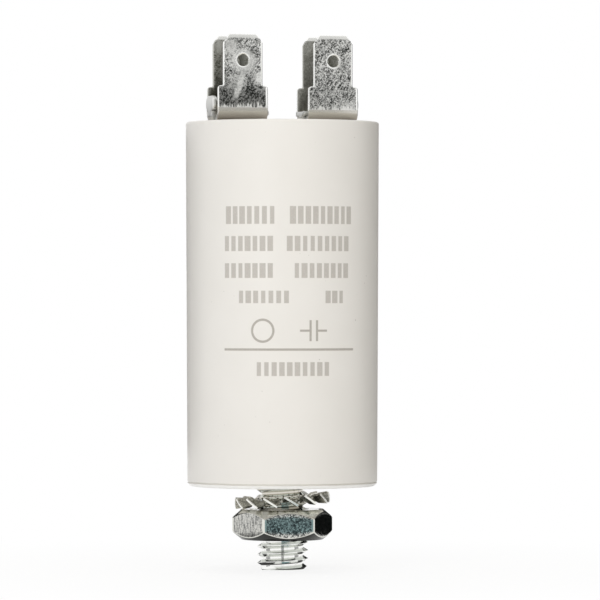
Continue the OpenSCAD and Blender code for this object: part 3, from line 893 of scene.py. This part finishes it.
def coin_depth(x, y):
    """How deep the blade's edges and tip are pressed in at a point of the blank."""
    if abs(y) < COIN_START:
        return 0
    if abs(y) < FLAT_SHOULDER:
        return EDGE_BEVEL_D * max(0, (abs(x) - SHOULDER_X + SIDE_BEVEL_W) / SIDE_BEVEL_W)
    edge = max(0, (abs(x) - BLADE_HALF_W + EDGE_BEVEL_W) / EDGE_BEVEL_W)
    edge *= min(1, (abs(y) - FLAT_SHOULDER) / EDGE_BEVEL_FADE)
    tip = max(0, (abs(y) - FLAT_TIP + TIP_BEVEL_L) / TIP_BEVEL_L)
    return max(EDGE_BEVEL_D * edge, TIP_BEVEL_D * tip)


def in_catch_rim(place):
    return abs(math.hypot(place.x, abs(place.y) - FLAT_CATCH) - CATCH_R) < MERGE


def in_ear_head(place):
    return abs(place.x) > EAR_BEND_X + EAR_BEND_FLAT - MERGE and in_ear(place.x, place.y)


def ease_edges(bm, chosen, offset):
    """Rounds the square edges of the blank whose ends lie in a chosen place."""
    bm.normal_update()
    edges = [edge for edge in sharp_edges(bm, SQUARE_EDGE) if all(chosen(vert.co) for vert in edge.verts)]
    round_edges(bm, edges, offset, EASE_STEPS)


def terminal(x, turn):
    """A double blade terminal: a flat blank is cut, coined at its edges, and folded."""
    bm = bmesh.new()
    blank_corner(bm, *TALL_EAR, 1)
    blank_corner(bm, *LOW_EAR, -1)
    bmesh.ops.mirror(bm, geom=whole(bm), matrix=Matrix.Identity(4), axis="Y", merge_dist=MERGE)
    bmesh.ops.remove_doubles(bm, verts=bm.verts[:], dist=MERGE)
    score_blank(bm)
    for face in bm.faces:
        face.normal_update()
        if face.normal.z < 0:
            face.normal_flip()
    bmesh.ops.solidify(bm, geom=bm.faces[:], thickness=SHEET_T)
    for vert in bm.verts:
        depth = coin_depth(vert.co.x, vert.co.y)
        vert.co.z += -depth if vert.co.z > SHEET_T / 2 else depth
    ease_edges(bm, in_catch_rim, CATCH_EASE)
    ease_edges(bm, in_ear_head, EAR_EASE)
    ease_edges(bm, lambda place: True, CUT_EASE)
    for vert in bm.verts:
        fold(vert)
    seat = Matrix.Translation((x, 0, LID_TOP)) @ Matrix.Rotation(turn, 4, "Z")
    bmesh.ops.transform(bm, matrix=seat, verts=bm.verts[:])
    return bm


def rivet(x):
    """A tubular rivet with a rolled head on the terminal and a clinched tail under the lid."""
    head_seat = LID_TOP + SHEET_T
    head_top = head_seat + RIVET_HEAD_H
    tail_seat = LID_TOP - LID_T
    tail_end = tail_seat - RIVET_HEAD_H
    bm = bmesh.new()
    lathe(bm, (
        (RIVET_BORE_R, tail_end, RIVET_EASE),
        (RIVET_BORE_R, head_top, RIVET_ROLL),
        (RIVET_CROWN_R, head_top, RIVET_CROWN_ROUND),
        (RIVET_HEAD_R, head_seat + RIVET_HEAD_EDGE_H, RIVET_EASE),
        (RIVET_NECK_R, head_seat, 0),
        (RIVET_R, head_seat, 0),
        (RIVET_R, tail_seat, 0),
        (RIVET_HEAD_R, tail_seat, 0),
        (RIVET_HEAD_R, tail_end, RIVET_ROLL),
    ), RIVET_STEPS)
    bmesh.ops.translate(bm, vec=(x, 0, 0), verts=bm.verts[:])
    return bm


def thread(bm, low, high, grow):
    """A helical strip of thread between two heights, moved out by grow; gives the edges of its two ends."""
    root_r = STUD_R - THREAD_DEPTH
    flank = THREAD_DEPTH * FLANK_SLOPE
    start = (math.floor(low / PITCH) - 1) * PITCH
    turns = math.ceil((high - start) / PITCH) + 1
    profile = ((STUD_R, 0), (STUD_R, CREST_FLAT), (root_r, CREST_FLAT + flank), (root_r, PITCH - flank),
               (STUD_R, PITCH))
    verts = [bm.verts.new((r + grow, 0, start + z)) for r, z in profile]
    edges = [bm.edges.new(pair) for pair in zip(verts, verts[1:])]
    bmesh.ops.spin(bm, geom=verts + edges, cent=ORIGIN, axis=UP, dvec=(0, 0, PITCH / THREAD_STEPS),
                   angle=FULL_TURN * turns, steps=THREAD_STEPS * turns)
    bmesh.ops.remove_doubles(bm, verts=bm.verts[:], dist=MERGE)
    ends = []
    for height, direction in ((low, -1), (high, 1)):
        cut = bmesh.ops.bisect_plane(bm, geom=whole(bm), plane_co=(0, 0, height), plane_no=(0, 0, direction),
                                     clear_outer=True)["geom_cut"]
        ends.append([part for part in cut if isinstance(part, bmesh.types.BMEdge)])
    return ends


def limit_radius(verts, keep, cone):
    """Turns a thread down, or opens it up, to a cone given by height."""
    for vert in verts:
        r = vert.co.xy.length
        vert.co.xy *= keep(r, cone(vert.co.z)) / r


def stud():
    """The threaded stud, with its hexagon head inside the can."""
    bm = bmesh.new()
    end, top = thread(bm, STUD_END, THREAD_TOP, 0)
    limit_radius(bm.verts, min, lambda z: STUD_R - STUD_CHAMFER + z - STUD_END)
    bmesh.ops.contextual_create(bm, geom=end)
    ring = new_ring(bm, STUD_R, THREAD_RUNOUT)
    bmesh.ops.bridge_loops(bm, edges=top + ring)
    head = hexagon_outline(STUD_HEAD_APOTHEM)
    ring = raise_ring(bm, ring, round_outline(STUD_R), level(CAN_BASE_T))
    ring = raise_ring(bm, ring, head, level(CAN_BASE_T))
    ring = raise_ring(bm, ring, head, lambda r: BOSS_TOP - (r - STUD_CROWN_R) * STUD_CROWN_SLOPE)
    ring = raise_ring(bm, ring, round_outline(STUD_CROWN_R), level(BOSS_TOP))
    bmesh.ops.contextual_create(bm, geom=ring)
    return bm


def nut():
    """The hexagon nut, chamfered at both ends, with a threaded bore."""
    bm = bmesh.new()
    low_end, high_end = thread(bm, NUT_LOW, NUT_HIGH, THREAD_GAP)
    limit_radius(bm.verts, max, lambda z: NUT_MOUTH_R - min(z - NUT_LOW, NUT_HIGH - z))
    rim_r = NUT_MOUTH_R + NUT_MOUTH_RIM
    low_ring = new_ring(bm, rim_r, NUT_LOW)
    edge_shade_line = hexagon_outline(NUT_APOTHEM)
    ring = raise_ring(bm, low_ring, round_outline(NUT_FACE_R), level(NUT_LOW))
    ring = raise_ring(bm, ring, edge_shade_line, lambda r: NUT_LOW + (r - NUT_FACE_R) * NUT_SLOPE)
    ring = raise_ring(bm, ring, edge_shade_line, lambda r: NUT_HIGH - (r - NUT_FACE_R) * NUT_SLOPE)
    ring = raise_ring(bm, ring, round_outline(NUT_FACE_R), level(NUT_HIGH))
    high_ring = raise_ring(bm, ring, round_outline(rim_r), level(NUT_HIGH))
    bmesh.ops.bridge_loops(bm, edges=low_end + low_ring)
    bmesh.ops.bridge_loops(bm, edges=high_end + high_ring)
    bm.normal_update()
    outer = [edge for edge in sharp_edges(bm, NUT_EDGE)
             if all(vert.co.xy.length > NUT_FACE_R + NUT_FACE_MARGIN for vert in edge.verts)]
    round_edges(bm, outer, NUT_EASE, NUT_EASE_STEPS)
    bmesh.ops.rotate(bm, cent=ORIGIN, matrix=Matrix.Rotation(NUT_TURN, 3, "Z"), verts=bm.verts[:])
    return bm


def washer_sector(bm):
    """One flat sector of the lock washer: a grid bent round the ring, with gaps cut beside its tooth."""
    pitch_half = math.pi / WASHER_TEETH
    across_tooth = [WASHER_TOOTH_HALF * i / WASHER_HALF_COLUMNS
                    for i in range(-WASHER_HALF_COLUMNS, WASHER_HALF_COLUMNS + 1)]
    columns = (-pitch_half, *across_tooth, pitch_half)
    rows = [WASHER_BORE_R, (WASHER_BORE_R + WASHER_RING_R) / 2, WASHER_RING_R]
    rows += [WASHER_RING_R + (WASHER_R - WASHER_RING_R) * i / WASHER_TOOTH_ROWS
             for i in range(1, WASHER_TOOTH_ROWS + 1)]
    bmesh.ops.create_grid(bm, x_segments=len(rows) - 1, y_segments=len(columns) - 1, size=1)
    for vert in bm.verts:
        r = rows[round((vert.co.x + 1) / 2 * (len(rows) - 1))]
        angle = columns[round((vert.co.y + 1) / 2 * (len(columns) - 1))]
        vert.co = (r * math.cos(angle), r * math.sin(angle), 0)
    gaps = [face for face in bm.faces
            if face.calc_center_median().xy.length > WASHER_RING_R
            and abs(math.atan2(*face.calc_center_median().yx)) > WASHER_TOOTH_HALF]
    bmesh.ops.delete(bm, geom=gaps, context="FACES")


def washer():
    """The lock washer: one sector is cut, its tooth twisted, and the rest spun from it."""
    bm = bmesh.new()
    washer_sector(bm)
    for vert in bm.verts:
        share = min(1, max(0, (vert.co.xy.length - WASHER_RING_R) / WASHER_TWIST_L))
        bend = WASHER_TWIST * share * share * (3 - 2 * share)
        vert.co.yz = (vert.co.y * math.cos(bend), vert.co.y * math.sin(bend))
    bmesh.ops.spin(bm, geom=whole(bm), cent=ORIGIN, axis=UP, angle=FULL_TURN, steps=WASHER_TEETH,
                   use_duplicate=True)
    bmesh.ops.remove_doubles(bm, verts=bm.verts[:], dist=MERGE)
    bmesh.ops.recalc_face_normals(bm, faces=bm.faces[:])
    bm.normal_update()
    for vert in bm.verts:
        vert.co += vert.normal * (WASHER_T / 2)
    bmesh.ops.solidify(bm, geom=bm.faces[:], thickness=WASHER_T)
    bm.normal_update()
    round_edges(bm, sharp_edges(bm, WASHER_EDGE), WASHER_EASE, WASHER_EASE_STEPS)
    lean = (Matrix.Rotation(WASHER_HEADING, 4, "Z") @ Matrix.Rotation(WASHER_LEAN, 4, "Y")
            @ Matrix.Rotation(WASHER_TURN, 4, "Z"))
    bmesh.ops.transform(bm, matrix=Matrix.Translation((0, 0, WASHER_Z)) @ lean, verts=bm.verts[:])
    return bm


# Pieces that can be seen
tinned = tinned_sheet()
rivet_metal = brass()
make_piece(can_shell(), "can_shell", "can", can_plastic())
make_piece(lid_disc(), "lid_disc", "lid", lid_plastic())
make_piece(terminal(-TERMINAL_X, math.pi), "left_blades", "left_terminal", tinned)
make_piece(terminal(TERMINAL_X, 0), "right_blades", "right_terminal", tinned)
make_piece(rivet(-TERMINAL_X), "left_rolled_rivet", "left_rivet", rivet_metal)
make_piece(rivet(TERMINAL_X), "right_rolled_rivet", "right_rivet", rivet_metal)
make_piece(stud(), "threaded_stud", "mounting_stud", plated_thread())
make_piece(nut(), "chamfered_nut", "hex_nut", speckled_zinc())
make_piece(washer(), "toothed_washer", "lock_washer", spring_steel())

# Pieces inside the can keep their solids. A finish has its nodes, light and dark tone, roughness,
# metal or not, and the stretch and scale of its grain.
INNER = {
    "core_tube": (("winding_core",), (222, 220, 208), (196, 194, 180), 0.4, 0.0, (1, 1, 0.1), 2),
    "wound_film": (("film_winding",), (206, 208, 212), (150, 154, 160), 0.2, 1.0, (1, 1, 0.02), 3),
    "sprayed_metal": (("upper_metal_spray", "lower_metal_spray"),
                      (178, 180, 182), (112, 114, 118), 0.6, 1.0, (1, 1, 1), 4),
    "tinned_wire": (("short_lead", "long_lead"), (214, 208, 200), (170, 150, 130), 0.25, 1.0, (1, 1, 0.2), 3),
    "sleeve": (("lead_sleeve",), (214, 196, 132), (180, 160, 98), 0.45, 0.0, (1, 1, 0.1), 2),
    "cast_resin": (("potting_resin",), (74, 62, 48), (44, 36, 28), 0.15, 0.0, (1, 1, 1), 0.4),
}
for name, (nodes, *look) in INNER.items():
    material = inner_finish(name, *look)
    for node in nodes:
        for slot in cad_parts[node].material_slots:
            slot.material = material

# The camera stands level with the middle of the can, a little to the left of the blades' front
CAMERA_AZIMUTH = math.radians(-17)
CAMERA_DISTANCE = 0.72
CAMERA_LEVEL = 0.02888
CAMERA_SIDESTEP = 0.00275
CAMERA_NEAR = 0.01
SENSOR = 36
PHOTO_WIDTH = 600
PIXELS_PER_MM = 6.43
FRAME_WIDTH = PHOTO_WIDTH / PIXELS_PER_MM * MM

# Floor and background
FLOOR_HALF_WIDTH = 2
FLOOR_TONE = (0.95, 0.95, 0.95, 1)
FLOOR_FADE = (0.02, 0.1)
FLOOR_WHITE_NEAR = 0.85
WORLD_AMBIENT = 0.28
WORLD_TINT = (1, 0.985, 0.93)
WHITE = (1, 1, 1, 1)

# Soft boxes: azimuth from the camera and elevation in degrees, distance, width and height in metres,
# watts, and tint
SOFT_BOXES = {
    "key_light": (-24, 15, 0.7, (0.3, 0.6), 2.15, (0.98, 0.99, 1)),
    "fill_light": (22, 12, 0.7, (0.2, 0.6), 0.85, (1, 0.95, 0.85)),
    "top_light": (0, 88, 0.8, (0.6, 0.6), 2.6, (1, 1, 1)),
    "back_light": (180, 25, 0.7, (0.5, 0.5), 1.9, (1, 1, 1)),
}

# Cards that show only as reflections: azimuth from the camera in degrees, distance and width in metres,
# lower and upper height in millimetres, and tone
CARDS = {
    "blade_card": (4, 0.2, 0.4, 20, 195, (0.55, 0.55, 0.54)),
    "tip_card": (4, 0.2, 0.6, 195, 500, (0.68, 0.68, 0.67)),
    "right_card": (136, 0.05, 0.08, -2, 80, (0.02, 0.02, 0.02)),
    "left_card": (-140, 0.05, 0.075, 3, 57, (0.03, 0.03, 0.03)),
    "nut_front_card": (15.5, 0.022, 0.016, -10, -3.1, (0.24, 0.345, 0.37)),
    "nut_right_card": (121, 0.021, 0.018, -9.6, -3.8, (0.01, 0.011, 0.011)),
    "stud_front_card": (1.5, 0.024, 0.006, STUD_END, -10.1, (0.34, 0.34, 0.34)),
    "stud_left_card": (-82, 0.024, 0.012, STUD_END, -9.9, (0.33, 0.33, 0.33)),
    "stud_right_card": (82, 0.024, 0.012, STUD_END, -9.9, (0.33, 0.33, 0.33)),
}
# A disc of painted shade under the stud, seen only in reflections
SHADE_DISC_R = 0.006
SHADE_DISC_RISE = 0.1
SHADE_DISC_TONE = (0.06, 0.06, 0.06)


def aim_camera():
    """Sets up the camera that takes the photo's view."""
    back = Vector((math.sin(CAMERA_AZIMUTH), -math.cos(CAMERA_AZIMUTH), 0))
    right = Vector((math.cos(CAMERA_AZIMUTH), math.sin(CAMERA_AZIMUTH), 0))
    data = bpy.data.cameras.new("camera")
    data.sensor_width = SENSOR
    data.lens = SENSOR * CAMERA_DISTANCE / FRAME_WIDTH
    data.clip_start = CAMERA_NEAR
    camera = bpy.data.objects.new("camera", data)
    camera.location = back * CAMERA_DISTANCE + right * CAMERA_SIDESTEP + Vector((0, 0, CAMERA_LEVEL))
    camera.rotation_mode = "QUATERNION"
    camera.rotation_quaternion = (-back).to_track_quat("-Z", "Y")
    bpy.context.scene.collection.objects.link(camera)
    bpy.context.scene.camera = camera


def towards(azimuth, elevation, distance):
    """A direction from the object's middle, by its angles from the camera, and a point along it."""
    a = CAMERA_AZIMUTH + math.radians(azimuth)
    e = math.radians(elevation)
    direction = Vector((math.sin(a) * math.cos(e), -math.cos(a) * math.cos(e), math.sin(e)))
    return direction, direction * distance + Vector((0, 0, CAMERA_LEVEL))


def soft_light(name, azimuth, elevation, distance, size, watts, tint):
    """A rectangular soft box that faces the object and isn't mirrored in it."""
    direction, place = towards(azimuth, elevation, distance)
    data = bpy.data.lights.new(name, "AREA")
    data.shape = "RECTANGLE"
    data.size, data.size_y = size
    data.energy = watts
    data.color = tint
    lamp = bpy.data.objects.new(name, data)
    lamp.location = place
    lamp.rotation_mode = "QUATERNION"
    lamp.rotation_quaternion = direction.to_track_quat("Z", "Y")
    lamp.visible_glossy = False
    bpy.context.scene.collection.objects.link(lamp)


def seen_white(finish):
    """1 for the rays that show the background, seen straight, mirrored or through something clear."""
    camera_ray = finish.node("ShaderNodeLightPath", {}, "Is Camera Ray")
    glossy_ray = finish.node("ShaderNodeLightPath", {}, "Is Glossy Ray")
    clear_ray = finish.node("ShaderNodeLightPath", {}, "Is Transmission Ray")
    return finish.maths("MINIMUM", camera_ray + glossy_ray + clear_ray, 1.0)


def studio_world():
    """White where it is seen, straight or mirrored, and a dimmer, tinted light elsewhere."""
    world = bpy.data.worlds.new("studio")
    bpy.context.scene.world = world
    finish = Finish(world)
    dim = (*(WORLD_AMBIENT * part for part in WORLD_TINT), 1)
    shown = finish.blend(dim, WHITE, seen_white(finish))
    light = finish.node("ShaderNodeBackground", {"Color": shown, "Strength": 1.0})
    finish.node("ShaderNodeOutputWorld", {"Surface": light})


def stage_piece(bm, name, material):
    """Puts a mesh of the stage in the scene as an object of its own."""
    piece = place_mesh(bm, name, material)
    return piece


def pale_floor():
    """A white floor that takes a soft shadow near the object and fades into the background further off."""
    finish = new_finish("pale_floor")
    place = finish.object_place()
    across = finish.node("ShaderNodeVectorMath", {0: place, 1: (1, 1, 0)}, operation="MULTIPLY")
    distance = finish.node("ShaderNodeVectorMath", {0: across}, "Value", operation="LENGTH")
    matte = finish.node("ShaderNodeBsdfDiffuse", {"Color": FLOOR_TONE})
    white = finish.node("ShaderNodeEmission", {"Color": WHITE, "Strength": 1.0})
    share = seen_white(finish) * finish.ramp(distance, *FLOOR_FADE, FLOOR_WHITE_NEAR, 1.0)
    shown = finish.node("ShaderNodeMixShader", {0: share, 1: matte, 2: white})
    finish.node("ShaderNodeOutputMaterial", {"Surface": shown})
    return finish.owner


def floor_plane():
    bm = bmesh.new()
    bmesh.ops.create_grid(bm, x_segments=1, y_segments=1, size=FLOOR_HALF_WIDTH,
                          matrix=Matrix.Translation((0, 0, STUD_END * MM)))
    stage_piece(bm, "floor", pale_floor())


def reflected_shade(bm, name, tint):
    """A stage piece of one plain tone that shows only as a reflection."""
    finish = new_finish(name)
    shade = finish.node("ShaderNodeEmission", {"Color": (*tint, 1), "Strength": 1.0})
    finish.node("ShaderNodeOutputMaterial", {"Surface": shade})
    card = stage_piece(bm, name, finish.owner)
    card.visible_camera = False
    card.visible_diffuse = False
    card.visible_shadow = False


def reflected_card(name, azimuth, distance, width, low, high, tint):
    """An upright card that faces the object."""
    direction, place = towards(azimuth, 0, distance)
    place.z = low * MM
    turn = direction.to_track_quat("Z", "Y").to_matrix().to_4x4()
    bm = bmesh.new()
    bmesh.ops.create_grid(bm, x_segments=1, y_segments=1, size=0.5)
    bmesh.ops.translate(bm, vec=(0, 0.5, 0), verts=bm.verts[:])
    bmesh.ops.scale(bm, vec=(width, (high - low) * MM, 1), verts=bm.verts[:])
    bmesh.ops.transform(bm, matrix=Matrix.Translation(place) @ turn, verts=bm.verts[:])
    reflected_shade(bm, name, tint)


def shade_disc():
    """A dark disc under the stud, seen only in reflections: painted shade of the floor beneath it."""
    bm = bmesh.new()
    bmesh.ops.create_circle(bm, cap_ends=True, segments=ROUND_STEPS, radius=SHADE_DISC_R,
                            matrix=Matrix.Translation((0, 0, (STUD_END + SHADE_DISC_RISE) * MM)))
    reflected_shade(bm, "shade_disc", SHADE_DISC_TONE)


aim_camera()
bpy.context.scene.view_settings.view_transform = "Standard"
floor_plane()
studio_world()
for name, box in SOFT_BOXES.items():
    soft_light(name, *box)
for name, card in CARDS.items():
    reflected_card(name, *card)
shade_disc()
